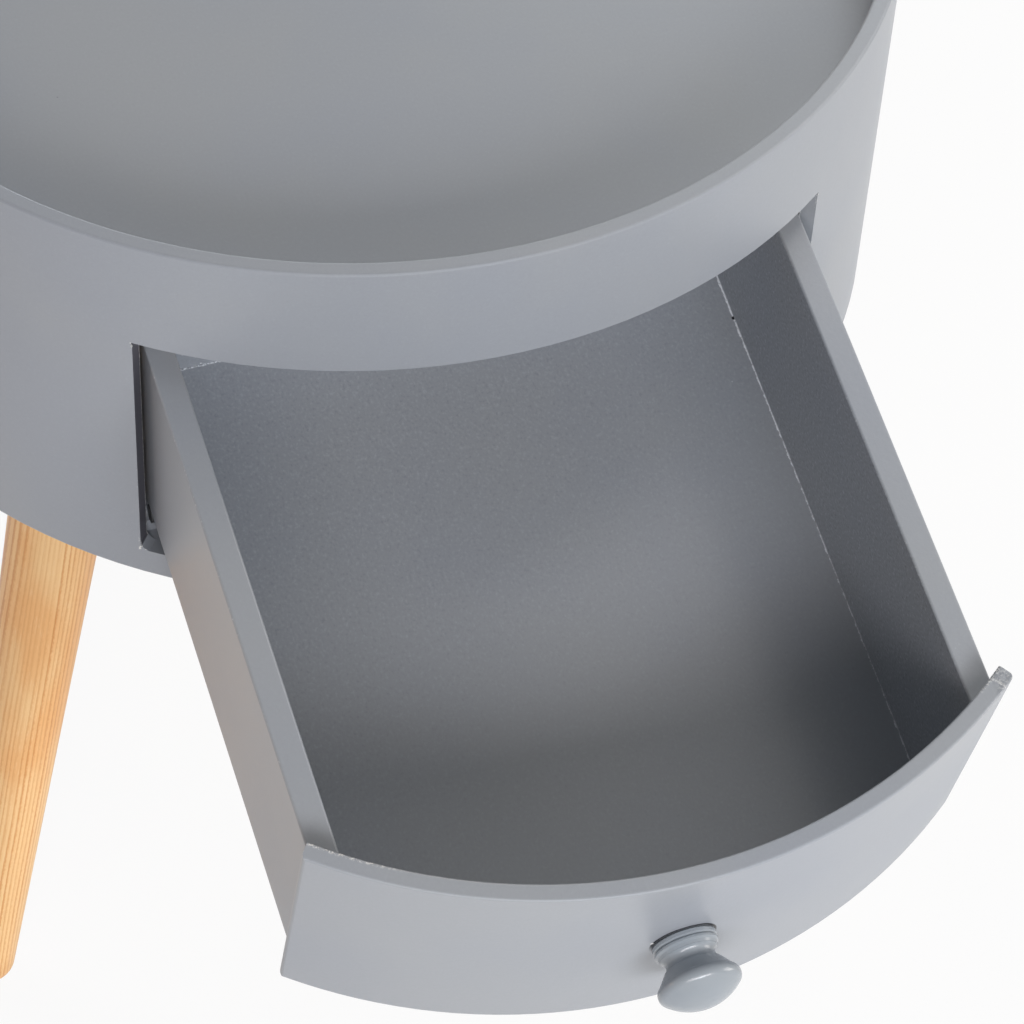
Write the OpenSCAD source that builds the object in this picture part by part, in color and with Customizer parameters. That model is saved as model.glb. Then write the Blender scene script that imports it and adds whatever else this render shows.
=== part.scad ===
// Round side table with one drawer: a bent-wood drum on three splayed, tapered legs.
// The drawer stands open and droops on its glide pins. Front is -Y, up is +Z, and the
// floor is z = 0. Lengths are in millimetres.

/* [Table] */
// Height of the rim above the floor
table_h = 450; // [420:5:520]
// Outer diameter of the drum
drum_d = 400; // [380:2:420]
// Height of the drum
drum_h = 160; // [155:1:180]
// Thickness of the bent drum shell and of the drawer front cut from it
wall = 6; // [5:0.5:7]
// Depth of the tray below the rim
tray_depth = 25; // [22:1:28]
// Thickness of the tray panel
tray_t = 9; // [7:0.5:10]
// Rounding of the drum's and the drawer front's edges
shell_edge = 0.9; // [0.5:0.1:1.2]
// Rounding of the upright edges at the drawer front's ends
front_end_r = 2; // [1:0.1:3]
// Thickness of the base panel, which is flush with the slot's sill
base_t = 12; // [11:0.5:14]

/* [Slot] */
// Chord of the slot on the drum's outside
slot_w = 244; // [236:1:248]
// Height of the wall above the slot
slot_drop = 45; // [44:0.5:50]
// Radius of the slot's lower corners
slot_corner_r = 4; // [3:0.5:8]

/* [Drawer] */
// Gap all round the drawer front in the slot
front_gap = 1.2; // [0.8:0.1:1.6]
// Thickness of the drawer sides
side_t = 9.5; // [8:0.5:11]
// Gap between a drawer side and the slot's inner edge
side_gap = 1.8; // [1.4:0.1:2.4]
// How far the sides stay below the front's top edge
side_set = 9.3; // [8:0.1:12]
// Length of the drawer from the front's crown to its rear face
drawer_len = 270.5; // [258:0.5:280]
// Thickness of the drawer back
back_t = 9.5; // [7:0.5:11]
// Thickness of the drawer bottom
bottom_t = 4; // [3:0.5:5]
// Depth of the grooves that hold the bottom
groove_d = 4; // [3:0.5:5]
// Height of the grooves above the sides' lower edges
groove_up = 3; // [2.5:0.5:5]
// Rounding of the drawer boards' edges
board_edge = 0.8; // [0.4:0.1:1]
// Diameter of the wooden dowels that join the drawer
dowel_d = 5; // [4:0.5:6]
// Depth of the dowels in the drawer front, along the drawer
dowel_in = 3.5; // [3:0.25:4]

/* [Open pose] */
// How far the drawer is pulled out
pull = 165; // [150:1:168]
// How far the drawer droops when it is pulled out, in degrees
droop = 14.2; // [12:0.1:14.4]

/* [Drawer bay] */
// Height of the runner strips
runner_h = 12; // [10:0.5:14]
// Width of the runner strips
runner_w = 12; // [11:0.5:14]
// Radius of the nylon glide pins at the runners' noses
glide_r = 3.5; // [3:0.25:4]
// Thickness of the guide boards
guide_t = 9; // [8:0.5:12]
// Gap between a guide board and a drawer side
guide_gap = 1.5; // [1:0.1:2]
// Thickness of the rail that stops the drawer from tipping
rail_t = 9; // [7:0.5:10]
// Thickness of the batten that stops the drawer at the back
stop_t = 12; // [10:1:16]
// Height of the batten that stops the drawer at the back
stop_h = 34; // [28:1:45]
// Size of the cleats that carry the tray
cleat_w = 40; // [30:1:50]
// Height of the cleats that carry the tray
cleat_h = 18; // [12:1:24]
// Thickness of the cleats that carry the tray
cleat_t = 14; // [10:1:18]

/* [Knob] */
// Diameter of the knob's head
knob_d = 28.5; // [26:0.5:33]
// How far the knob stands off the front
knob_l = 24; // [22:0.5:27]
// Diameter of the knob's collar
collar_d = 22; // [20:0.5:24]
// Diameter of the knob's waist
waist_d = 17; // [14:0.5:18]

/* [Legs] */
// Distance of the legs' tops from the drum's outside
leg_inset = 57; // [50:1:70]
// Splay of the legs from upright, in degrees
leg_splay = 13.6; // [10:0.2:15]
// Diameter of a leg at its top
leg_top_d = 38; // [34:0.5:42]
// Diameter of a leg at its foot
leg_foot_d = 24; // [20:0.5:28]
// Radius of the rounding on a foot
foot_round = 9; // [6:0.5:9.5]
// Side of the square leg plates
plate_w = 64; // [60:1:70]
// Thickness of the leg plates
plate_t = 2; // [1.5:0.25:3]
// Diameter of the hanger bolts
stud_d = 8; // [6:1:10]
// Length of a hanger bolt inside the leg
stud_in = 40; // [30:1:50]

/* [Screws] */
// Diameter of the wood screws' shanks
screw_d = 3.5; // [3:0.25:4]
// Diameter of the wood screws' heads
screw_head_d = 7; // [6:0.25:8]
// Depth of the base's screws in the guide boards and the stop
screw_grip = 20; // [14:1:26]
// Distance of the outer runner screws from the runners' ends
runner_screw_end = 25; // [15:1:35]
// Depth of the dowels in the drawer's sides and back
dowel_grip = 20; // [14:1:24]
// Diameter of the knob's machine screw
knob_screw_d = 4; // [3:0.5:5]

/* [Hidden] */
$fn = 96;

paint = [0.57, 0.59, 0.62];
pine = [0.86, 0.68, 0.48];
bare_board = [0.72, 0.6, 0.44];
steel = [0.72, 0.73, 0.75];
nylon = [0.2, 0.2, 0.21];

fit = 0.1;      // radial play of a screw or stud in its hole
seat = 0.3;     // gap between the drawer's sides and what they slide on
over = 1;       // how far a cutter runs past what it cuts

// Heights above the floor
rim_z = table_h;
drum_z = table_h - drum_h;
sill_z = drum_z + base_t;
slot_top_z = rim_z - slot_drop;
tray_z = rim_z - tray_depth;
tray_under_z = tray_z - tray_t;
front_top_z = slot_top_z - front_gap;
front_low_z = sill_z + front_gap;
runner_z = sill_z + runner_h;
side_low_z = runner_z + 0.5;
side_top_z = front_top_z - side_set;
side_h = side_top_z - side_low_z;
knob_z = (front_top_z + front_low_z) / 2;

// Plan, measured from the drum's axis
drum_r = drum_d / 2;
bore_r = drum_r - wall;
slot_a = asin(slot_w / 2 / drum_r);
front_a = slot_a - front_gap / drum_r * 180 / PI;
front_corner_r = slot_corner_r - 0.8;
side_out = bore_r * sin(slot_a) - side_gap;
side_in = side_out - side_t;
rear_y = drawer_len - drum_r;
side_seat_y = -sqrt(bore_r * bore_r - side_out * side_out);
guide_in = side_out + guide_gap;
guide_out = guide_in + guide_t;
guide_half = sqrt(bore_r * bore_r - guide_out * guide_out) - 2;
runner_in = guide_in - runner_w;
// The cleats stand beside the guide boards and, behind, between them
cleat_front_a = (asin(guide_out / bore_r) + 90) / 2;
cleat_back_a = asin(guide_in / bore_r) / 2;
panel_r = bore_r - fit;

// The glide pins' axis, about which the open drawer droops
glide_y = side_seat_y + glide_r + 0.6;
glide_z = side_low_z - seat - glide_r;

// The rail's lower edge stays just over the drawer as its rear comes out from under it
rail_low_z = side_low_z + side_h / cos(droop) + 0.3;
rail_y = glide_y - 1 - rail_t;

// The legs
leg_azimuths = [-60, 60, 180];
leg_ring = drum_r - leg_inset;
boss_h = plate_t + leg_top_d / 2 * sin(leg_splay) + 1;
leg_drop = drum_z - boss_h;
foot_ring = leg_foot_d / 2 - foot_round;
foot_trim = 1;      // how much the level cut takes off the rounded foot
leg_len = (leg_drop + foot_trim - foot_round - foot_ring * sin(leg_splay)) / cos(leg_splay) + foot_round;
screw_ring = plate_w / 2 - 8;

// The drum's axis stands behind the origin, which is under the middle of the whole table
knob_reach = -(glide_y + (-drum_r - knob_l - pull - glide_y) * cos(droop)
    - (knob_z - glide_z) * sin(droop));
foot_reach = leg_ring + (drum_z - leg_foot_d / 2) * tan(leg_splay) + leg_foot_d / 2;
axis_y = (knob_reach - max(foot_reach, drum_r)) / 2;

module at_axis() {
    translate([0, axis_y, 0]) children();
}

module pull_out() {
    translate([0, glide_y, glide_z])
        rotate([droop, 0, 0])
            translate([0, -glide_y - pull, -glide_z])
                children();
}

module on_leg(azimuth) {
    rotate([0, 0, azimuth])
        translate([0, -leg_ring, drum_z - boss_h])
            rotate([-leg_splay, 0, 0])
                children();
}

module on_plate(azimuth) {
    rotate([0, 0, azimuth]) translate([0, -leg_ring, drum_z]) children();
}

// A ring's sector between two azimuths, counted from the front
module sector(outer, half_a, low, high) {
    reach = outer * 1.5;
    translate([0, 0, low])
        linear_extrude(high - low)
            polygon([[0, 0], [-reach * sin(half_a), -reach * cos(half_a)], [0, -reach],
                [reach * sin(half_a), -reach * cos(half_a)]]);
}

// A rectangle's outline with its corners rounded by r in three steps
function eased(x0, y0, x1, y1, r) =
    [for (c = [[x1 - r, y1 - r, 0], [x0 + r, y1 - r, 90], [x0 + r, y0 + r, 180], [x1 - r, y0 + r, 270]],
        k = [0:3]) [c[0] + r * cos(c[2] + 30 * k), c[1] + r * sin(c[2] + 30 * k)]];

module shell(low, high) {
    rotate_extrude($fn = 240) polygon(eased(bore_r, low, drum_r, high, shell_edge));
}

// What easing the slot's outer edge takes away, above (way = 1) or below (way = -1) height z
module slot_edge(z, way) {
    e = shell_edge * 0.6;
    past = 0.1;                         // degrees beyond the slot's ends
    rotate([0, 0, -90 - slot_a - past])
        rotate_extrude(angle = 2 * (slot_a + past), $fn = 240)
            polygon([[drum_r - e - over, z - way * over], [drum_r + over, z - way * over],
                [drum_r + over, z + way * (e + over)]]);
}

// What a rounded lower corner leaves outside its arc, along the radial face at azimuth a
module corner_rest(a, side, low, r) {
    inset = r * 0.985;                  // the arc runs out over both faces, not along them
    rotate([0, 0, a])
        translate([0, -drum_r - over, low])
            difference() {
                translate([side > 0 ? -inset : -over, 0, -over])
                    cube([inset + over, wall + 2 * over, inset + over]);
                translate([-side * inset, -over, inset])
                    rotate([-90, 0, 0]) cylinder(h = wall + 4 * over, r = r, $fn = 48);
            }
}

// What rounding the outer upright edge takes off the drawer front's end at azimuth a
module end_rest(a, side, r) {
    inset = r * 0.985;
    rotate([0, 0, a])
        translate([0, -drum_r, front_low_z - over])
            difference() {
                translate([side > 0 ? -inset : -over, -over, 0])
                    cube([inset + over, inset + over, front_top_z - front_low_z + 2 * over]);
                translate([-side * inset, inset, -over])
                    cylinder(h = front_top_z - front_low_z + 4 * over, r = r, $fn = 48);
            }
}

// A countersunk wood screw that points up, its head's face at z = 0
module wood_screw(length, play = 0) {
    head_h = (screw_head_d - screw_d) / 2;
    cylinder(h = head_h, d1 = screw_head_d + 2 * play, d2 = screw_d + 2 * play, $fn = 32);
    translate([0, 0, head_h - 0.01])
        cylinder(h = length - head_h - 1.99, d = screw_d + 2 * play, $fn = 32);
    translate([0, 0, length - 2]) cylinder(h = 2, d1 = screw_d + 2 * play, d2 = 0.8, $fn = 32);
}

module screw_hole(length) {
    translate([0, 0, -0.02]) wood_screw(length + 0.4, fit);
}

// Places of the screws
module at_plate_screws(azimuth) {
    for (dx = [-1, 1], dy = [-1, 1])
        on_plate(azimuth) translate([dx * screw_ring, dy * screw_ring, -plate_t]) children();
}

module at_guide_screws(side) {
    for (k = [-1, 0, 1])
        translate([side * (guide_in + guide_t / 2), k * guide_half * 0.75, drum_z]) children();
}

module at_runner_screws(side) {
    for (k = [0:3])
        translate([side * (guide_in - runner_w / 2),
            glide_y + runner_screw_end + k * (rear_y - glide_y - 2 * runner_screw_end) / 3, runner_z])
            rotate([180, 0, 0]) children();
}

module at_rail_screws() {
    for (k = [-1, 1])
        translate([k * side_in * 0.7, rail_y + rail_t / 2, rail_low_z]) children();
}

module at_stop_screws() {
    for (k = [-1, 1])
        translate([k * side_in * 0.4, rear_y + 0.6 + stop_t / 2, drum_z]) children();
}

// Places of the dowels: along the sides into the front, and across them into the back
module at_front_dowels(side) {
    for (k = [0.25, 0.75])
        translate([side * dowel_x, dowel_y - dowel_in, side_low_z + k * side_h])
            rotate([-90, 0, 0]) children();
}

module at_back_dowels(side) {
    for (k = [0.25, 0.75])
        translate([side * (side_out - side_t + dowel_side), rear_y - back_t / 2, side_low_z + k * side_h])
            rotate([0, -side * 90, 0]) children();
}

module dowel(length, play = 0) {
    translate([0, 0, -play]) cylinder(h = length + 2 * play, d = dowel_d + 2 * play, $fn = 48);
}

// Lengths of the screws
plate_screw_l = plate_t + base_t - 1.5;
guide_screw_l = base_t + screw_grip;
runner_screw_l = runner_h + base_t - 2;
rail_screw_l = tray_under_z - rail_low_z + tray_t - 1.5;
stop_screw_l = base_t + screw_grip;

// The dowels
dowel_x = side_in + side_t / 2;
dowel_y = -sqrt(bore_r * bore_r - dowel_x * dowel_x);
dowel_side = side_t * 0.7;
front_dowel_l = dowel_in + dowel_grip;
back_dowel_l = dowel_side + dowel_grip;

module drum_wall() {
    color(paint) at_axis() difference() {
        shell(drum_z, rim_z);
        difference() {
            sector(drum_r, slot_a, sill_z, slot_top_z);
            corner_rest(slot_a, 1, sill_z, slot_corner_r);
            corner_rest(-slot_a, -1, sill_z, slot_corner_r);
        }
        slot_edge(slot_top_z, 1);
    }
}

module tray_panel() {
    color(paint) at_axis() difference() {
        translate([0, 0, tray_under_z]) cylinder(h = tray_t, r = panel_r, $fn = 240);
        at_rail_screws() screw_hole(rail_screw_l);
    }
}

module base_panel() {
    color(paint) at_axis() difference() {
        translate([0, 0, drum_z]) cylinder(h = base_t, r = panel_r, $fn = 240);
        for (side = [-1, 1]) {
            at_guide_screws(side) screw_hole(guide_screw_l);
            at_runner_screws(side) screw_hole(runner_screw_l);
        }
        at_stop_screws() screw_hole(stop_screw_l);
        for (azimuth = leg_azimuths)
            at_plate_screws(azimuth) screw_hole(plate_screw_l);
    }
}

// A block with a curved back that is glued inside the shell, under the tray
module cleat(azimuth) {
    color(bare_board) at_axis() intersection() {
        translate([0, 0, tray_under_z - cleat_h]) cylinder(h = cleat_h, r = panel_r, $fn = 240);
        rotate([0, 0, azimuth])
            translate([-cleat_w / 2, -panel_r - over, tray_under_z - cleat_h - over])
                cube([cleat_w, cleat_t + over, cleat_h + 2 * over]);
    }
}

module cleat_front_left() { cleat(-cleat_front_a); }
module cleat_front_right() { cleat(cleat_front_a); }
module cleat_back_left() { cleat(-180 + cleat_back_a); }
module cleat_back_right() { cleat(180 - cleat_back_a); }

// A painted strip that a drawer side slides on, with a round seat for the glide pin in its nose
module runner(side) {
    color(paint) at_axis() difference() {
        translate([side > 0 ? runner_in : -guide_in, glide_y, sill_z])
            cube([runner_w, rear_y - glide_y, runner_h]);
        translate([-guide_in - over, glide_y, glide_z])
            rotate([0, 90, 0]) cylinder(h = 2 * guide_in + 2 * over, r = glide_r + fit, $fn = 48);
        at_runner_screws(side) screw_hole(runner_screw_l);
    }
}

module runner_left() { runner(-1); }
module runner_right() { runner(1); }

// An upright board that keeps the drawer straight and carries the tray
module guide(side) {
    color(bare_board) at_axis() difference() {
        translate([side > 0 ? guide_in : -guide_out, -guide_half, sill_z])
            cube([guide_t, 2 * guide_half, tray_under_z - sill_z]);
        at_guide_screws(side) screw_hole(guide_screw_l);
    }
}

module guide_left() { guide(-1); }
module guide_right() { guide(1); }

module tilt_rail() {
    color(bare_board) at_axis() difference() {
        translate([-side_in + 2, rail_y, rail_low_z])
            cube([2 * side_in - 4, rail_t, tray_under_z - rail_low_z]);
        at_rail_screws() screw_hole(rail_screw_l);
    }
}

module back_stop() {
    color(bare_board) at_axis() difference() {
        translate([-side_in * 0.6, rear_y + 0.6, sill_z]) cube([side_in * 1.2, stop_t, stop_h]);
        at_stop_screws() screw_hole(stop_screw_l);
    }
}

// A round leg with a rounded foot, sawn level where it stands on the floor
module leg(azimuth) {
    color(pine) at_axis() difference() {
        on_leg(azimuth) mirror([0, 0, 1]) difference() {
            rotate_extrude($fn = 96) leg_profile();
            translate([0, 0, -over]) cylinder(h = stud_in + over + 1, d = stud_d + 2 * fit, $fn = 48);
        }
        translate([-drum_d, -drum_d, -foot_round]) cube([2 * drum_d, 2 * drum_d, foot_round]);
    }
}

module leg_profile() {
    top_r = leg_top_d / 2;
    foot_r = leg_foot_d / 2;
    knee = leg_len - foot_round;
    polygon([[0, 0], [top_r - 1, 0], [top_r, 1], [foot_r, knee], [0, knee]]);
    translate([0, knee - 0.01]) square([foot_ring, foot_round + 0.01]);
    intersection() {
        translate([foot_ring, knee]) circle(r = foot_round, $fn = 64);
        translate([0, knee - 0.01]) square([foot_r, foot_round + 0.02]);
    }
}

module leg_left() { leg(leg_azimuths[0]); }
module leg_right() { leg(leg_azimuths[1]); }
module leg_back() { leg(leg_azimuths[2]); }

// A pressed plate: a square flange and a boss whose face is square to the leg
module leg_plate(azimuth) {
    boss_r = leg_top_d / 2 - 1;
    color(steel) at_axis() difference() {
        union() {
            on_plate(azimuth) translate([-plate_w / 2, -plate_w / 2, -plate_t])
                cube([plate_w, plate_w, plate_t]);
            intersection() {
                on_leg(azimuth) cylinder(h = 3 * boss_h, r = boss_r, $fn = 64);
                on_plate(azimuth) translate([-plate_w / 2, -plate_w / 2, -2 * boss_h])
                    cube([plate_w, plate_w, 2 * boss_h]);
            }
        }
        on_leg(azimuth) translate([0, 0, -over])
            cylinder(h = 4 * boss_h, d = stud_d + 2 * fit, $fn = 48);
        at_plate_screws(azimuth) screw_hole(plate_screw_l);
        for (dx = [-1, 1], dy = [-1, 1])
            on_plate(azimuth) translate([dx * plate_w / 2, dy * plate_w / 2, -plate_t - over])
                rotate([0, 0, 45]) translate([-4, -4, 0]) cube([8, 8, plate_t + 2 * over]);
    }
}

module leg_plate_left() { leg_plate(leg_azimuths[0]); }
module leg_plate_right() { leg_plate(leg_azimuths[1]); }
module leg_plate_back() { leg_plate(leg_azimuths[2]); }

module hanger_bolts() {
    stud_up = boss_h / cos(leg_splay) - stud_d / 2 * tan(leg_splay) - 0.3;
    color(steel) at_axis() for (azimuth = leg_azimuths)
        on_leg(azimuth) translate([0, 0, -stud_in]) cylinder(h = stud_in + stud_up, d = stud_d, $fn = 48);
}

module plate_screws() {
    color(steel) at_axis() for (azimuth = leg_azimuths)
        at_plate_screws(azimuth) wood_screw(plate_screw_l);
}

module guide_screws() {
    color(steel) at_axis() for (side = [-1, 1])
        at_guide_screws(side) wood_screw(guide_screw_l);
}

module runner_screws() {
    color(steel) at_axis() for (side = [-1, 1])
        at_runner_screws(side) wood_screw(runner_screw_l);
}

module rail_screws() {
    color(steel) at_axis() at_rail_screws() wood_screw(rail_screw_l);
}

module stop_screws() {
    color(steel) at_axis() at_stop_screws() wood_screw(stop_screw_l);
}

// A short round pin across a runner's nose, on which the drawer side slides and rocks
module glide_pin(side) {
    color(nylon) at_axis() translate([side > 0 ? side_in : -side_out, glide_y, glide_z])
        rotate([0, 90, 0]) cylinder(h = side_t, r = glide_r, $fn = 48);
}

module glide_pin_left() { glide_pin(-1); }
module glide_pin_right() { glide_pin(1); }

module knob_axis() {
    translate([0, -drum_r, knob_z]) rotate([90, 0, 0]) children();
}

// The front is a piece of the drum's own shell with the slot's rounded lower corners
module drawer_front() {
    color(paint) at_axis() pull_out() difference() {
        intersection() {
            shell(front_low_z, front_top_z);
            sector(drum_r, front_a, front_low_z, front_top_z);
        }
        corner_rest(front_a, 1, front_low_z, front_corner_r);
        corner_rest(-front_a, -1, front_low_z, front_corner_r);
        end_rest(front_a, 1, front_end_r);
        end_rest(-front_a, -1, front_end_r);
        knob_axis() translate([0, 0, -2 * wall])
            cylinder(h = 3 * wall, d = knob_screw_d + 2 * fit, $fn = 48);
        for (side = [-1, 1])
            at_front_dowels(side) dowel(front_dowel_l, fit);
    }
}

// The drawer's floor as it lies in its grooves, or the grooves with some play
module floor_plate(play) {
    difference() {
        translate([-side_in - groove_d + 0.3 - play, -drum_r, side_low_z + groove_up - play])
            cube([2 * (side_in + groove_d - 0.3 + play), drum_r + rear_y - back_t + groove_d - 0.3 + play,
                bottom_t + 2 * play]);
        translate([0, 0, side_low_z]) difference() {
            translate([-drum_r, -2 * drum_r, 0]) cube([drum_d, 2 * drum_r, side_h]);
            translate([0, 0, -over]) cylinder(h = side_h + 2 * over, r = bore_r - fit, $fn = 240);
        }
    }
}

// A side board, cut to the front's curve at one end and grooved for the bottom
module drawer_side(side) {
    color(paint) at_axis() pull_out() difference() {
        intersection() {
            translate([side > 0 ? side_in : -side_out, rear_y, side_low_z]) rotate([90, 0, 0])
                linear_extrude(drum_r + rear_y) polygon(eased(0, 0, side_t, side_h, board_edge));
            union() {
                translate([0, 0, side_low_z - over])
                    cylinder(h = side_h + 2 * over, r = bore_r - fit / 2, $fn = 240);
                translate([-drum_r, 0, side_low_z - over]) cube([drum_d, drum_r, side_h + 2 * over]);
            }
        }
        floor_plate(fit);
        at_front_dowels(side) dowel(front_dowel_l, fit);
        at_back_dowels(side) dowel(back_dowel_l, fit);
    }
}

module drawer_side_left() { drawer_side(-1); }
module drawer_side_right() { drawer_side(1); }

module drawer_back() {
    color(paint) at_axis() pull_out() difference() {
        translate([-side_in + fit / 2, rear_y - back_t, side_low_z]) rotate([90, 0, 90])
            linear_extrude(2 * side_in - fit) polygon(eased(0, 0, back_t, side_h, board_edge));
        floor_plate(fit);
        for (side = [-1, 1])
            at_back_dowels(side) dowel(back_dowel_l, fit);
    }
}

module drawer_bottom() {
    color(paint) at_axis() pull_out() floor_plate(0);
}

module front_dowels() {
    color(bare_board) at_axis() pull_out() for (side = [-1, 1])
        at_front_dowels(side) dowel(front_dowel_l);
}

module back_dowels() {
    color(bare_board) at_axis() pull_out() for (side = [-1, 1])
        at_back_dowels(side) dowel(back_dowel_l);
}

// A turned knob: a beaded collar, a waist, a flare and a flattened mushroom head
module knob() {
    color(paint) at_axis() pull_out() knob_axis() difference() {
        translate([0, 0, fit]) rotate_extrude($fn = 96) knob_profile();
        translate([0, 0, -over]) cylinder(h = knob_l * 0.6 + over, d = knob_screw_d + 2 * fit, $fn = 48);
    }
}

module knob_profile() {
    collar_r = collar_d / 2;
    waist_r = waist_d / 2;
    neck = knob_l * 0.21;               // height of the collar
    hollow_r = knob_l * 0.1;            // radius of the hollow round the waist
    waist_y = neck + hollow_r * 0.985;  // height of the narrowest circle
    step_x = waist_r + hollow_r * 0.55; // where the collar's face runs into the hollow
    rim_r = knob_l * 0.13;              // radius of the head's rim
    rim_x = knob_d / 2 - rim_r;
    rim_y = knob_l * 0.675;
    low_a = 60;                         // slope of the hollow where the cone leaves it
    high_a = 46;                        // slope of the rim where the cone runs into it
    cone_low = [waist_r + hollow_r * (1 - cos(low_a)), waist_y + hollow_r * sin(low_a)];
    cone_high = [rim_x + rim_r * 0.97 * cos(high_a), rim_y - rim_r * 0.97 * sin(high_a)];
    run_in = (cone_low - cone_high) * 0.12;
    // the crown's arc runs into the rim's almost without a step
    rise = knob_l - fit - rim_y - rim_r;
    drop = (rim_x * rim_x - rise * rise) / (2 * rise);
    crown_r = rise + rim_r + drop;
    bite = 0.03;                        // how far the rim's arc stands out of the crown's
    meet = crown_r / (crown_r - rim_r);
    // collar with two fine beads
    polygon([[0, 0], [collar_r - 0.5, 0], [collar_r, 0.6], [collar_r, 1.7], [collar_r - 0.7, 2.2],
        [collar_r - 0.1, 2.8], [collar_r - 0.1, 3.5], [collar_r - 0.9, 4.1], [collar_r - 1.1, neck], [0, neck]]);
    // hollow round the waist, and the cone from it to the rim
    difference() {
        polygon([[0, neck - 0.5], [step_x, neck - 0.5], [step_x, waist_y], cone_low + run_in, cone_high,
            [0, cone_high[1]]]);
        translate([waist_r + hollow_r, waist_y]) circle(r = hollow_r, $fn = 96);
    }
    // head
    translate([0, cone_high[1] - 0.5]) square([rim_x, rim_y - cone_high[1] + 0.5]);
    translate([rim_x, rim_y]) circle(r = rim_r, $fn = 64);
    intersection() {
        translate([0, rim_y - drop]) circle(r = crown_r - bite, $fn = 160);
        polygon([[0, rim_y - 0.5], [rim_x, rim_y - 0.5], [rim_x, rim_y], [rim_x * meet, rim_y + drop * (meet - 1)],
            [rim_x * meet, knob_l], [0, knob_l]]);
    }
}

module knob_screw() {
    tip = knob_l * 0.6 - 1;
    head = wall + 1;
    color(steel) at_axis() pull_out() knob_axis() {
        translate([0, 0, -head]) cylinder(h = head + tip, d = knob_screw_d, $fn = 48);
        translate([0, 0, -head - 2.4]) cylinder(h = 2.4, d = 2 * knob_screw_d, $fn = 48);
    }
}

module knob_washer() {
    color(steel) at_axis() pull_out() knob_axis()
        translate([0, 0, -wall - 1 + 0.02]) difference() {
            cylinder(h = 0.9, d = 2.5 * knob_screw_d, $fn = 48);
            translate([0, 0, -over]) cylinder(h = 1 + 2 * over, d = knob_screw_d + 2 * fit, $fn = 48);
        }
}

drum_wall();
tray_panel();
base_panel();
cleat_front_left();
cleat_front_right();
cleat_back_left();
cleat_back_right();
runner_left();
runner_right();
guide_left();
guide_right();
tilt_rail();
back_stop();
leg_left();
leg_right();
leg_back();
leg_plate_left();
leg_plate_right();
leg_plate_back();
hanger_bolts();
plate_screws();
guide_screws();
runner_screws();
rail_screws();
stop_screws();
glide_pin_left();
glide_pin_right();
drawer_front();
drawer_side_left();
drawer_side_right();
drawer_back();
drawer_bottom();
front_dowels();
back_dowels();
knob();
knob_screw();
knob_washer();
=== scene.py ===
import math

import bmesh
import bpy
from mathutils import Euler, Matrix, Vector

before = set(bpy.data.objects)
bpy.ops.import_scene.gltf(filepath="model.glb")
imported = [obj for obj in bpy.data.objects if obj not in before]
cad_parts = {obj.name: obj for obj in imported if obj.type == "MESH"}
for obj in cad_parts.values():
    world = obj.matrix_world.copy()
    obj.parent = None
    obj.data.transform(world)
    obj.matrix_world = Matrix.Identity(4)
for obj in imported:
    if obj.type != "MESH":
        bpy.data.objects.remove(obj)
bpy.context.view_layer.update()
print("frame loaded")


def tone(red, green, blue):
    # a colour as it looks, 0 to 255, made into the linear values that a shader takes
    def linear(part):
        part = part / 255
        return part / 12.92 if part <= 0.04045 else ((part + 0.055) / 1.055) ** 2.4
    return (linear(red), linear(green), linear(blue), 1)


class Wire:
    # a shader socket that takes part in plain sums
    def __init__(self, shader, socket):
        self.shader = shader
        self.socket = socket

    def maths(self, operation, first, second=0, **settings):
        return self.shader.node("ShaderNodeMath", {"operation": operation, **settings}, {0: first, 1: second})

    def __add__(self, other):
        return self.maths("ADD", self, other)

    def __sub__(self, other):
        return self.maths("SUBTRACT", self, other)

    def __rsub__(self, other):
        return self.maths("SUBTRACT", other, self)

    def __mul__(self, other):
        return self.maths("MULTIPLY", self, other)

    def __truediv__(self, other):
        return self.maths("DIVIDE", self, other)

    __radd__ = __add__
    __rmul__ = __mul__

    def size(self):
        return self.maths("ABSOLUTE", self)

    def clamped(self):
        return self.maths("ADD", self, 0, use_clamp=True)

    def rise(self, low, high):
        # 0 up to low, 1 from high on, smooth between them; low may be the greater
        if low > high:
            return 1 - self.rise(high, low)
        return self.shader.node("ShaderNodeMapRange", {"interpolation_type": "SMOOTHSTEP"},
                                {"Value": self, "From Min": low, "From Max": high})

    def within(self, centre, half, soft):
        return (self - centre).size().rise(half + soft, half)


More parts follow.
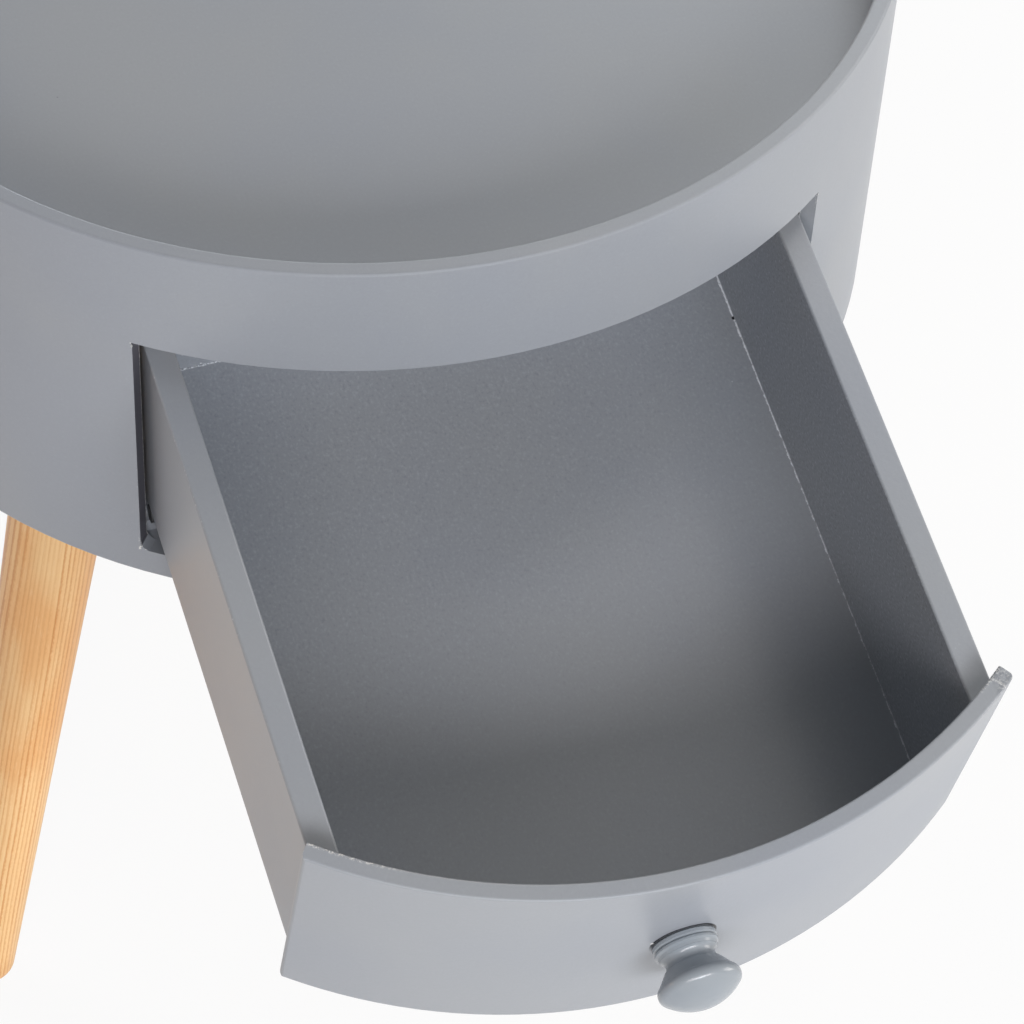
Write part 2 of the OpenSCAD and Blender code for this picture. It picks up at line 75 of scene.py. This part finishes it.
class Shader:
    # a node tree whose nodes are made by one method
    def __init__(self, tree):
        self.tree = tree
        tree.nodes.clear()

    def fill(self, sockets, inputs):
        for key, value in inputs.items():
            if isinstance(value, Wire):
                self.tree.links.new(value.socket, sockets[key])
            else:
                sockets[key].default_value = value

    def node(self, kind, settings=None, inputs=None, out=0):
        made = self.tree.nodes.new(kind)
        for key, value in (settings or {}).items():
            setattr(made, key, value)
        self.fill(made.inputs, inputs or {})
        return Wire(self, made.outputs[out]) if made.outputs else None

    def place(self, origin=(0, 0, 0), turn=(0, 0, 0)):
        # Object coordinates counted from origin, along axes turned by turn
        coords = self.node("ShaderNodeTexCoord", out="Object")
        return self.node("ShaderNodeMapping", {"vector_type": "TEXTURE"},
                         {"Vector": coords, "Location": origin, "Rotation": turn})

    def axes(self, place):
        return [self.node("ShaderNodeSeparateXYZ", None, {0: place}, out=name) for name in "XYZ"]

    def stretched(self, place, factors):
        return self.node("ShaderNodeVectorMath", {"operation": "MULTIPLY"}, {0: place, 1: factors})

    def distance(self, place, point):
        return self.node("ShaderNodeVectorMath", {"operation": "DISTANCE"}, {0: place, 1: point}, out="Value")

    def noise(self, place, scale, detail=2, roughness=0.5):
        return self.node("ShaderNodeTexNoise", None,
                         {"Vector": place, "Scale": scale, "Detail": detail, "Roughness": roughness})

    def flecks(self, place, spacing, radius, share):
        # round flecks of about radius metres, on a share of the points of a jittered grid
        inputs = {"Vector": place, "Scale": 1 / spacing}
        near = self.node("ShaderNodeTexVoronoi", None, inputs, out="Distance")
        pick = self.node("ShaderNodeTexVoronoi", None, inputs, out="Color")
        chosen = self.axes(pick)[0].rise(1 - share, 1 - share * 0.8)
        return near.rise(radius / spacing, radius / spacing * 0.5) * chosen

    def blend(self, mask, first, second):
        # sockets 0, 6 and 7 of a colour Mix are its factor, A and B, and output 2 is its colour
        return self.node("ShaderNodeMix", {"data_type": "RGBA"}, {0: mask, 6: first, 7: second}, out=2)

    def bump(self, height, distance):
        return self.node("ShaderNodeBump", None, {"Height": height, "Distance": distance, "Strength": 1})

    def surface(self, **values):
        inputs = {key.replace("_", " "): value for key, value in values.items()}
        made = self.node("ShaderNodeBsdfPrincipled", None, inputs)
        self.node("ShaderNodeOutputMaterial", None, {"Surface": made})


def finish(name):
    # a new material and the shader that draws it
    material = bpy.data.materials.new(name)
    material.use_nodes = True
    return material, Shader(material.node_tree)


def wear(material, *names):
    for name in names:
        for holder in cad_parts[name].material_slots:
            holder.material = material


# paint: a sprayed satin grey with a fine pale and dark mottle, a little cooler in some clouds than in others,
# and a near-black for painted shade
paint = {"colour": tone(154, 158, 163), "cool": tone(149, 154, 162), "pale": tone(205, 210, 218),
         "grime": tone(92, 96, 102), "chip": tone(236, 236, 233), "gap": tone(12, 14, 20), "rough": 0.36,
         "roughSpread": 0.08, "cloudScale": 9, "clouds": (0.3, 0.7), "mottleScale": 1000,
         "mottleStretch": (1, 0.7, 1), "mottlePale": (0.5, 0.78), "mottleDark": (0.46, 0.25),
         "outside": 0.04, "insideFrom": 0.0012, "insideTo": 0.0006, "speckSpacing": 0.017,
         "speckRadius": 0.0004, "speckShare": 0.3, "peel": 0.00004, "peelScale": 450, "chipDepth": 3,
         "calmSlant": 0.6, "calmSpan": (0.03, 0.24)}

# the drum's axis and slot, in metres
drum = {"axisY": 0.08499, "outer": 0.2, "bore": 0.194, "slotTurn": math.radians(37.59), "slotLow": 0.302,
        "slotHigh": 0.405}

# the drawer's own axes run across it, from the front's crown to the rear, and up from its floor
drawer = {"origin": (0, -0.27031, 0.27014), "droop": math.radians(14.2), "inner": 0.10704, "rear": 0.255,
          "sideMiddle": 0.1118, "sideTop": 0.073, "frontTop": 0.0823, "bore": 0.194, "knobZ": 0.032,
          "collar": 0.011}


def drawerAxes(mat):
    place = mat.place(drawer["origin"], (drawer["droop"], 0, 0))
    return [place] + mat.axes(place)


def painted(name, extras=None, grain=0.05, peel=1.0, dust=0.0, rough=paint["rough"], below=None, calm=None):
    # grain and dust are the strengths of the fine mottle and of the dark specks; with below, the mottle keeps
    # to a drawer side's inner face, and with calm it fades to that strength towards the front and the right
    material, mat = finish("painted_" + name)
    place = mat.place()
    clouds = mat.noise(place, paint["cloudScale"], 3)
    colour = mat.blend(clouds.rise(*paint["clouds"]), paint["colour"], paint["cool"])
    mottle = mat.noise(mat.stretched(place, paint["mottleStretch"]), paint["mottleScale"], 3, 0.6)
    if below:
        across, _, up = drawerAxes(mat)[1:]
        reach = drawer["inner"]
        inside = across.size().rise(reach + paint["insideFrom"], reach + paint["insideTo"])
        inside = inside * up.rise(below, below - paint["insideTo"])
        grain = inside * (grain - paint["outside"]) + paint["outside"]
    if calm:
        across, along, _ = drawerAxes(mat)[1:]
        back = (along - across * paint["calmSlant"]).rise(*paint["calmSpan"])
        grain = back * (grain - calm) + calm
    colour = mat.blend(mottle.rise(*paint["mottlePale"]) * grain, colour, paint["pale"])
    colour = mat.blend(mottle.rise(*paint["mottleDark"]) * grain, colour, paint["grime"])
    if dust:
        specks = mat.flecks(place, paint["speckSpacing"], paint["speckRadius"], paint["speckShare"])
        colour = mat.blend(specks * dust, colour, paint["grime"])
    height = mat.noise(place, paint["peelScale"], 3, 0.65) * peel
    if extras:
        colour, height = extras(mat, colour, height)
    mat.surface(Base_Color=colour, Roughness=(clouds - 0.5) * paint["roughSpread"] + rough,
                Normal=mat.bump(height, paint["peel"]))
    wear(material, name)


# slot: its outer edges are chipped here and there, most of all at its corners; its left cut end is darkened
# as painted shade
slot = {"dark": tone(70, 68, 76), "cutShadeStrength": 0.9, "raggedScale": 1100, "line": 0.0006, "soft": 0.0002,
        "edgeChips": (0.68, 0.74), "cornerChips": (0.52, 0.6), "cornerFrom": 0.007, "cornerTo": 0.001,
        "front": (-0.1, -0.13), "shadedHalf": (0.1, -0.1), "skinFrom": 0.0008, "skinTo": 0.0004,
        "cutLine": 0.0004, "cutFrom": 0.0001, "cutTo": 0.0004, "innerFrom": 0.0006, "innerTo": 0.0003,
        "innerRagged": (0.4, 0.55), "innerPale": 0.6}


def drumMarks(mat, colour, height):
    place = mat.place((0, drum["axisY"], 0))
    x, y, z = mat.axes(place)
    ragged = mat.noise(mat.place(), slot["raggedScale"], 3, 0.7)
    middle = (drum["slotLow"] + drum["slotHigh"]) / 2
    half = (drum["slotHigh"] - drum["slotLow"]) / 2
    radius = mat.distance(mat.stretched(place, (1, 1, 0)), (0, 0, 0))
    upright = (z - middle).size()
    # how far a point stands beyond the radial plane of a cut end
    beside = x.size() * math.cos(drum["slotTurn"]) + y * math.sin(drum["slotTurn"])
    skin = radius.rise(drum["outer"] - slot["skinFrom"], drum["outer"] - slot["skinTo"])
    tall = z.within(middle, half + slot["line"], slot["soft"])
    ends = beside.within(0, slot["line"], slot["soft"]) * tall
    rows = upright.within(half, slot["line"], slot["soft"]) * beside.rise(slot["line"], 0)
    corners = ends * upright.rise(half - slot["cornerFrom"], half - slot["cornerTo"])
    ahead = y.rise(*slot["front"])
    chipped = (ends + rows) * ragged.rise(*slot["edgeChips"]) + corners * ragged.rise(*slot["cornerChips"])
    chipped = chipped.clamped() * ahead * skin
    cut = beside.within(0, slot["cutLine"], slot["soft"]) * tall * ahead
    cut = cut * radius.rise(drum["outer"] - slot["cutFrom"], drum["outer"] - slot["cutTo"])
    inner = cut * radius.rise(drum["bore"] + slot["innerFrom"], drum["bore"] + slot["innerTo"])
    inner = inner * ragged.rise(*slot["innerRagged"])
    # painted shade: the cut face at the slot's left end is blended towards a dark grey, for the shadow it
    # stands in
    colour = mat.blend(cut * x.rise(*slot["shadedHalf"]) * slot["cutShadeStrength"], colour, slot["dark"])
    colour = mat.blend((chipped + inner * slot["innerPale"]).clamped(), colour, paint["chip"])
    return colour, height - chipped * paint["chipDepth"]


# drawer floor: a pale ragged seam round it, thicker towards the back, with loose flecks beside it
seam = {"colour": tone(238, 242, 248), "wanderScale": 330, "sideWander": 0.0024, "rearWander": 0.0014,
        "in": 0.0003, "widening": 0.0004, "soft": 0.0002, "rearFrom": 0.0007, "rearTo": 0.0004,
        "sparkleScale": 1300, "sideSparkle": (0.3, 0.46), "rearSparkle": (0.42, 0.52), "least": 0.7,
        "gain": 0.25, "looseSpacing": 0.009, "looseRadius": 0.0004, "looseShare": 0.3, "farSpacing": 0.023,
        "farRadius": 0.0003, "farShare": 0.25, "farStrength": 0.7, "notchIn": 0.0002, "notchY": 0.2265,
        "notch": (0.0009, 0.0005), "raised": 2, "thicker": (0.06, 0.24), "wider": (0.15, 0.255),
        "sideStrip": (0.088, 0.105), "sideRun": (0.12, 0.24), "rearStrip": (0.2, 0.25), "rearStrength": 0.7}


def floorMarks(mat, colour, height):
    place, x, y, _ = drawerAxes(mat)
    wander = mat.noise(place, seam["wanderScale"], 4, 0.7) - 0.5
    deep = y.rise(*seam["thicker"])
    reach = drawer["inner"] - seam["in"] - y.rise(*seam["wider"]) * seam["widening"]
    flank = (x.size() + wander * seam["sideWander"] - reach).rise(0, seam["soft"])
    rear = y + wander * seam["rearWander"]
    rear = rear.rise(drawer["rear"] - seam["rearFrom"], drawer["rear"] - seam["rearTo"])
    sparkle = mat.noise(place, seam["sparkleScale"], 2)
    pale = flank * (sparkle.rise(*seam["sideSparkle"]) * (deep * seam["gain"] + seam["least"]))
    pale = pale + rear * sparkle.rise(*seam["rearSparkle"])
    close = x.size().rise(*seam["sideStrip"]) * y.rise(*seam["sideRun"])
    close = close + y.rise(*seam["rearStrip"]) * seam["rearStrength"]
    loose = mat.flecks(place, seam["looseSpacing"], seam["looseRadius"], seam["looseShare"]) * close.clamped()
    far = mat.flecks(place, seam["farSpacing"], seam["farRadius"], seam["farShare"]) * seam["farStrength"]
    marks = (pale + loose + far).clamped()
    # painted shade: a near-black spot at a notch by the floor's right edge, for the shade in its hollow
    notch = mat.distance(place, (drawer["inner"] - seam["notchIn"], seam["notchY"], 0)).rise(*seam["notch"])
    colour = mat.blend(marks, colour, seam["colour"])
    return mat.blend(notch, colour, paint["gap"]), height + marks * seam["raised"]


# drawer back: pale grit, most of it along the foot
grit = {"colour": tone(250, 250, 250), "spacing": 0.0017, "radius": 0.00045, "share": 0.5,
        "foot": (0.0035, 0.0005), "footStrength": 0.7, "strength": 0.3, "raised": 2}


def backMarks(mat, colour, height):
    place, _, _, z = drawerAxes(mat)
    grains = mat.flecks(place, grit["spacing"], grit["radius"], grit["share"])
    marks = (grains * (z.rise(*grit["foot"]) * grit["footStrength"] + grit["strength"])).clamped()
    return mat.blend(marks, colour, grit["colour"]), height + marks * grit["raised"]


# drawer front: chips along the inner top edge near its left end, a crumbly right end whose top is darkened
# as painted shade, and painted shade in a near-black ring over the upper part of the knob's collar
front = {"raggedScale": 900, "crumbScale": 1500, "topFrom": 0.0012, "topTo": 0.0004, "edgeFrom": 0.0016,
         "edgeTo": 0.0004, "left": (-0.088, -0.104), "leftChips": (0.5, 0.56), "right": (0.106, 0.112),
         "rightChips": (0.5, 0.58), "end": (0.1135, 0.1155), "endCrumbs": (0.56, 0.66), "endPale": 0.3,
         "crackX": 0.1128, "crackSlant": 0.7, "crackLine": 0.0002, "crackSoft": 0.0003,
         "crackRagged": (0.35, 0.6), "crackPale": 0.5, "endShade": (0.1125, 0.1145), "endShadeScale": 700,
         "endShadeClouds": (0.4, 0.6), "endShadeStrength": 0.35, "gapOut": 0.0001, "gapLine": 0.0003,
         "gapRise": (0.027, 0.034), "outerFace": (0.01, 0), "dotX": -0.0112, "dotZ": 0.003,
         "dot": (0.0007, 0.0004), "crumbDepth": 4}


def frontMarks(mat, colour, height):
    place, x, y, z = drawerAxes(mat)
    ragged = mat.noise(place, front["raggedScale"], 3, 0.7)
    crumbs = mat.noise(place, front["crumbScale"], 2)
    radius = mat.distance(mat.stretched(place, (1, 1, 0)), (0, drawer["bore"], 0))
    top = z.rise(drawer["frontTop"] - front["topFrom"], drawer["frontTop"] - front["topTo"])
    edge = radius.rise(drawer["bore"] + front["edgeFrom"], drawer["bore"] + front["edgeTo"]) * top
    left = x.rise(*front["left"]) * edge * ragged.rise(*front["leftChips"])
    right = x.rise(*front["right"]) * edge * ragged.rise(*front["rightChips"])
    end = x.rise(*front["end"]) * top * crumbs.rise(*front["endCrumbs"]) * front["endPale"]
    crack = x - (radius - drawer["bore"]) * front["crackSlant"]
    crack = crack.within(front["crackX"], front["crackLine"], front["crackSoft"])
    crack = crack * top * ragged.rise(*front["crackRagged"])
    chipped = (left + right + end + crack * front["crackPale"]).clamped()
    # the front's top over its right end: crumbly, and darkened in clouds towards a darker grey as painted
    # shade
    beyond = x.rise(*front["endShade"]) * top
    endShade = beyond * mat.noise(place, front["endShadeScale"], 2).rise(*front["endShadeClouds"]) * front["endShadeStrength"]
    facing = mat.stretched(place, (1, 0, 1))
    ring = mat.distance(facing, (0, 0, drawer["knobZ"]))
    outer = y.rise(*front["outerFace"])
    gap = ring.within(drawer["collar"] + front["gapOut"], front["gapLine"], front["gapLine"]) * outer
    dot = mat.distance(facing, (front["dotX"], 0, drawer["knobZ"] + front["dotZ"])).rise(*front["dot"])
    colour = mat.blend(endShade, colour, paint["grime"])
    colour = mat.blend(chipped, colour, paint["chip"])
    # painted shade: the thin ring round the collar, on its upper part only, is blended to near-black where
    # the collar shades the front
    colour = mat.blend(gap * z.rise(*front["gapRise"]), colour, paint["gap"])
    height = height - chipped * paint["chipDepth"] + crumbs * beyond * front["crumbDepth"]
    return mat.blend(dot * outer, colour, paint["chip"]), height


# drawer sides: a pale seam at the floor's edge, worn upper edges, and fine scratches on top near the front
side = {"worn": tone(214, 216, 218), "seamScale": 300, "seamZ": 0.0002, "seamLine": 0.0004,
        "seamSoft": 0.0003, "seamRagged": (0.42, 0.55), "seamInside": (0.1085, 0.1078), "seamPale": 0.7,
        "hairScale": 1500, "hairStretch": (1, 0.45, 1), "hairs": (0.64, 0.74), "hairY": 0.047,
        "hairHalf": 0.009, "hairSoft": 0.006, "hairPale": 0.22, "edgeScale": 1300,
        "edgeSparkle": (0.6, 0.66), "edgeOut": (0.0042, 0.0046), "edgeCloudScale": 60,
        "edgeClouds": (0.5, 0.6), "edgePale": 0.6, "hairDown": 0.001, "edgeFrom": 0.0009, "edgeTo": 0.0003}


def sideMarks(mat, colour, height):
    place, x, y, z = drawerAxes(mat)
    wander = mat.noise(place, side["seamScale"], 4, 0.7)
    foot = z.within(side["seamZ"], side["seamLine"], side["seamSoft"]) * wander.rise(*side["seamRagged"])
    foot = foot * x.size().rise(*side["seamInside"])
    hairs = mat.noise(mat.stretched(place, side["hairStretch"]), side["hairScale"], 3, 0.7)
    hairs = hairs.rise(*side["hairs"]) * z.rise(drawer["sideTop"] - side["hairDown"], drawer["sideTop"])
    hairs = hairs * y.within(side["hairY"], side["hairHalf"], side["hairSoft"])
    edge = mat.noise(place, side["edgeScale"], 2).rise(*side["edgeSparkle"])
    edge = edge * z.rise(drawer["sideTop"] - side["edgeFrom"], drawer["sideTop"] - side["edgeTo"])
    edge = edge * (x.size() - drawer["sideMiddle"]).size().rise(*side["edgeOut"])
    edge = edge * mat.noise(place, side["edgeCloudScale"], 2).rise(*side["edgeClouds"])
    marks = (foot * side["seamPale"] + hairs * side["hairPale"] + edge * side["edgePale"]).clamped()
    return mat.blend(marks, colour, side["worn"]), height


painted("drum_wall", drumMarks)
painted("tray_panel", dust=0.5, rough=0.32, peel=0.6)
painted("base_panel")
painted("drawer_front", frontMarks)
painted("drawer_side_left", sideMarks, grain=0.2, below=drawer["sideTop"])
painted("drawer_side_right", sideMarks, grain=0.6, peel=1.6, below=drawer["sideTop"])
painted("drawer_back", backMarks, grain=0.2)
painted("drawer_bottom", floorMarks, grain=0.24, peel=1.2, calm=0.08)
painted("runner_left")
painted("runner_right")
print("boards painted")

# knob: the same grey, glossier
knob = {"colour": tone(146, 153, 159), "cool": tone(141, 149, 157), "cloudScale": 60, "clouds": (0.3, 0.7),
        "rough": 0.27, "coat": 0.2, "coatRough": 0.12, "peel": 0.00003, "peelScale": 300}
material, mat = finish("painted_knob")
place = mat.place()
clouds = mat.noise(place, knob["cloudScale"], 2)
mat.surface(Base_Color=mat.blend(clouds.rise(*knob["clouds"]), knob["colour"], knob["cool"]),
            Roughness=knob["rough"], Coat_Weight=knob["coat"], Coat_Roughness=knob["coatRough"],
            Normal=mat.bump(mat.noise(place, knob["peelScale"], 2), knob["peel"]))
wear(material, "knob")
print("knob painted")

# pine legs, whose growth lines run along each leg, a pitch apart
pine = {"pale": tone(241, 200, 144), "late": tone(209, 143, 78), "warm": tone(229, 160, 90),
        "silver": tone(248, 219, 178), "foot": tone(196, 142, 88), "topRadius": 0.143, "topHeight": 0.2825,
        "splay": 13.6, "pitch": 0.0018, "slant": 0.12, "swayScale": 22, "swayStretch": (1, 0.6, 0.25),
        "sway": 0.004, "ringDeep": 0.1, "ringLong": 0.015, "unevenScale": 150, "uneven": 2.2,
        "frayScale": 1300, "frayStretch": (1, 1, 0.5), "frayStart": 0.7, "frayEnd": 0.3,
        "start": (0.4, 0.8), "end": (1.04, 0.9), "strengthScale": 330, "strengths": (0.25, 0.7),
        "weakest": 0.3, "fineScale": 2100, "fineLines": (0.4, 0.75), "fine": 0.22, "poreScale": 2600,
        "poreStretch": (1, 1, 0.07), "poreSpots": (0.55, 0.8), "pores": 0.3, "patchScale": 40,
        "patchStretch": (1, 1, 0.35), "patches": (0.52, 0.72), "patchTint": 0.5, "onPatch": 0.15,
        "paleX": 0.003, "paleHalf": 0.003, "paleSoft": 0.006, "paleRun": (-0.25, -0.1), "paleFade": 0.5,
        "footRun": (-0.272, -0.286), "footTint": 0.25, "rough": 0.48, "lineGloss": 0.1, "relief": 0.00004}


def pineLeg(name, azimuth, facing):
    # facing is the direction, from the front, that sees the growth lines stand straight
    around, lean = math.radians(azimuth), math.radians(pine["splay"])
    outward = Vector((math.sin(around), -math.cos(around), 0))
    axis = (Vector((0, 0, math.cos(lean))) - outward * math.sin(lean)).normalized()
    top = Vector((0, drum["axisY"], pine["topHeight"])) + outward * pine["topRadius"]
    seen = Vector((math.sin(math.radians(facing)), -math.cos(math.radians(facing)), 0))
    across = seen.cross(axis).normalized()
    turn = Matrix((across, axis.cross(across), axis)).transposed().to_euler()
    material, mat = finish("pine_" + name)
    place = mat.place(top, turn)
    x, y, z = mat.axes(place)
    sway = mat.noise(mat.stretched(place, pine["swayStretch"]), pine["swayScale"], 2) - 0.5
    grown = x + y * pine["slant"] + sway * pine["sway"]
    inputs = {"X": grown, "Y": y * pine["ringDeep"], "Z": z * pine["ringLong"]}
    rings = mat.node("ShaderNodeCombineXYZ", None, inputs)
    count = grown / pine["pitch"] + mat.noise(rings, pine["unevenScale"], 2) * pine["uneven"]
    phase = mat.node("ShaderNodeMath", {"operation": "FRACT"}, {0: count})
    frayed = mat.noise(mat.stretched(place, pine["frayStretch"]), pine["frayScale"], 2, 0.7) - 0.5
    # late wood darkens slowly and ends sharply
    late = (phase + frayed * pine["frayStart"]).rise(*pine["start"])
    late = late * (phase + frayed * pine["frayEnd"]).rise(*pine["end"])
    strength = mat.noise(rings, pine["strengthScale"], 1).rise(*pine["strengths"])
    strength = strength * (1 - pine["weakest"]) + pine["weakest"]
    fine = mat.noise(rings, pine["fineScale"], 2, 0.6).rise(*pine["fineLines"])
    pores = mat.noise(mat.stretched(place, pine["poreStretch"]), pine["poreScale"], 2)
    patch = mat.noise(mat.stretched(place, pine["patchStretch"]), pine["patchScale"], 2)
    patch = patch.rise(*pine["patches"])
    pale = x.within(pine["paleX"], pine["paleHalf"], pine["paleSoft"]) * z.rise(*pine["paleRun"])
    lines = late * strength * (1 - pale * pine["paleFade"])
    colour = mat.blend((patch * pine["patchTint"]).clamped(), pine["pale"], pine["warm"])
    colour = mat.blend(lines * (patch * pine["onPatch"] + (1 - pine["onPatch"])), colour, pine["late"])
    colour = mat.blend(fine * pine["fine"], colour, pine["late"])
    colour = mat.blend(pores.rise(*pine["poreSpots"]) * pine["pores"], colour, pine["silver"])
    colour = mat.blend(z.rise(*pine["footRun"]) * pine["footTint"], colour, pine["foot"])
    mat.surface(Base_Color=colour, Roughness=pine["rough"] - lines * pine["lineGloss"],
                Normal=mat.bump(pores + lines, pine["relief"]))
    wear(material, name)


pineLeg("leg_left", -60, -19)
pineLeg("leg_right", 60, 30)
pineLeg("leg_back", 180, 150)
print("legs grained")

# bare board inside
board = {"pale": tone(214, 190, 152), "dark": tone(190, 160, 120), "stretch": (0.08, 1, 1), "scale": 700,
         "fibres": (0.35, 0.7), "rough": 0.6, "relief": 0.00006}
material, mat = finish("bare_board")
fibre = mat.noise(mat.stretched(mat.place(), board["stretch"]), board["scale"], 3)
mat.surface(Base_Color=mat.blend(fibre.rise(*board["fibres"]), board["pale"], board["dark"]),
            Roughness=board["rough"], Normal=mat.bump(fibre, board["relief"]))
wear(material, "cleat_front_left", "cleat_front_right", "cleat_back_left", "cleat_back_right", "guide_left",
     "guide_right", "tilt_rail", "back_stop", "front_dowels", "back_dowels")

# zinc-plated steel plates, bolts and screws
steel = {"bright": tone(196, 197, 200), "endShade": tone(170, 172, 176), "spangleScale": 130,
         "spangles": (0.3, 0.7), "smudgeScale": 400, "smudge": 0.12, "rough": 0.3}
material, mat = finish("plated_steel")
place = mat.place()
spangle = mat.noise(place, steel["spangleScale"], 3).rise(*steel["spangles"])
mat.surface(Base_Color=mat.blend(spangle, steel["bright"], steel["endShade"]), Metallic=1.0,
            Roughness=mat.noise(place, steel["smudgeScale"], 2) * steel["smudge"] + steel["rough"])
wear(material, "leg_plate_left", "leg_plate_right", "leg_plate_back", "hanger_bolts", "plate_screws",
     "guide_screws", "runner_screws", "rail_screws", "stop_screws", "knob_screw", "knob_washer")

# dark nylon glide pins
nylon = {"colour": tone(52, 53, 55), "rubScale": 300, "rub": 0.1, "rough": 0.35}
material, mat = finish("dark_nylon")
mat.surface(Base_Color=nylon["colour"],
            Roughness=mat.noise(mat.place(), nylon["rubScale"], 2) * nylon["rub"] + nylon["rough"])
wear(material, "glide_pin_left", "glide_pin_right")
print("bare board, steel and nylon finished")

# floor and sky, white in what the camera, gloss and glass see, plain under the diffuse light
studio = {"floorSize": 6, "floorColour": (0.8, 0.8, 0.8, 1), "floorWhite": 0.9, "sky": (1, 1, 1, 1),
          "skyStrength": 0.1, "white": (1, 1, 1, 1), "aim": Vector((0, 0, 0.35))}


def seenWhite(shader):
    camera, gloss, glass = [shader.node("ShaderNodeLightPath", out="Is %s Ray" % ray)
                            for ray in ("Camera", "Glossy", "Transmission")]
    return (camera + gloss + glass).clamped()


mesh = bpy.data.meshes.new("floor")
shape = bmesh.new()
bmesh.ops.create_grid(shape, x_segments=1, y_segments=1, size=studio["floorSize"])
shape.to_mesh(mesh)
shape.free()
floor = bpy.data.objects.new("floor", mesh)
bpy.context.scene.collection.objects.link(floor)
material, mat = finish("pale_floor")
plain = mat.node("ShaderNodeBsdfDiffuse", None, {"Color": studio["floorColour"]})
white = mat.node("ShaderNodeEmission", None, {"Color": studio["white"], "Strength": 1})
mixed = mat.node("ShaderNodeMixShader", None, {0: seenWhite(mat) * studio["floorWhite"], 1: plain, 2: white})
mat.node("ShaderNodeOutputMaterial", None, {"Surface": mixed})
mesh.materials.append(material)

world = bpy.data.worlds.new("studio")
world.use_nodes = True
bpy.context.scene.world = world
sky = Shader(world.node_tree)
soft = sky.node("ShaderNodeBackground", None, {"Color": studio["sky"], "Strength": studio["skyStrength"]})
white = sky.node("ShaderNodeBackground", None, {"Color": studio["white"], "Strength": 1})
mixed = sky.node("ShaderNodeMixShader", None, {0: seenWhite(sky), 1: soft, 2: white})
sky.node("ShaderNodeOutputWorld", None, {"Surface": mixed})


def lamp(name, azimuth, height, distance, size, power, colour):
    # an area lamp round the drum, its azimuth counted from the front towards the right, in degrees
    data = bpy.data.lights.new(name, "AREA")
    data.shape = "RECTANGLE"
    data.size, data.size_y = size
    data.energy = power
    data.color = colour
    made = bpy.data.objects.new(name, data)
    around, up = math.radians(azimuth), math.radians(height)
    way = Vector((math.sin(around) * math.cos(up), -math.cos(around) * math.cos(up), math.sin(up)))
    made.location = studio["aim"] + way * distance
    made.rotation_euler = way.to_track_quat("Z", "Y").to_euler()
    bpy.context.scene.collection.objects.link(made)


lamp("front_wide", -5, 22, 2.5, (2.4, 0.6), 45, (1, 0.95, 0.95))
lamp("front_low", 0, 17, 2.5, (0.7, 0.6), 11, (0.8, 0.93, 1))
lamp("right_low", 70, 6, 2.5, (1.2, 1.0), 20, (1, 0.95, 0.9))
lamp("back_high", 120, 50, 1.6, (0.8, 0.8), 7, (1, 0.96, 0.92))
lamp("back_right", 145, 22, 2.5, (1.2, 1.0), 21, (0.84, 0.94, 1))
lamp("back_left", -150, 22, 2.5, (1.2, 1.0), 18, (1, 0.86, 0.78))
lamp("left_low", -105, 3, 2.5, (1.2, 0.4), 4, (1, 0.62, 0.42))
print("lights placed")

view = {"lens": 139.127, "sensor": 36, "place": (-0.33887, -0.95059, 1.34929),
        "turn": (41.3115, -2.3819, -19.3328)}
camera = bpy.data.objects.new("camera", bpy.data.cameras.new("camera"))
camera.data.lens = view["lens"]
camera.data.sensor_width = view["sensor"]
camera.location = view["place"]
camera.rotation_euler = Euler([math.radians(part) for part in view["turn"]], "XYZ")
bpy.context.scene.collection.objects.link(camera)
bpy.context.scene.camera = camera
bpy.context.scene.view_settings.view_transform = "Standard"
print("camera set")
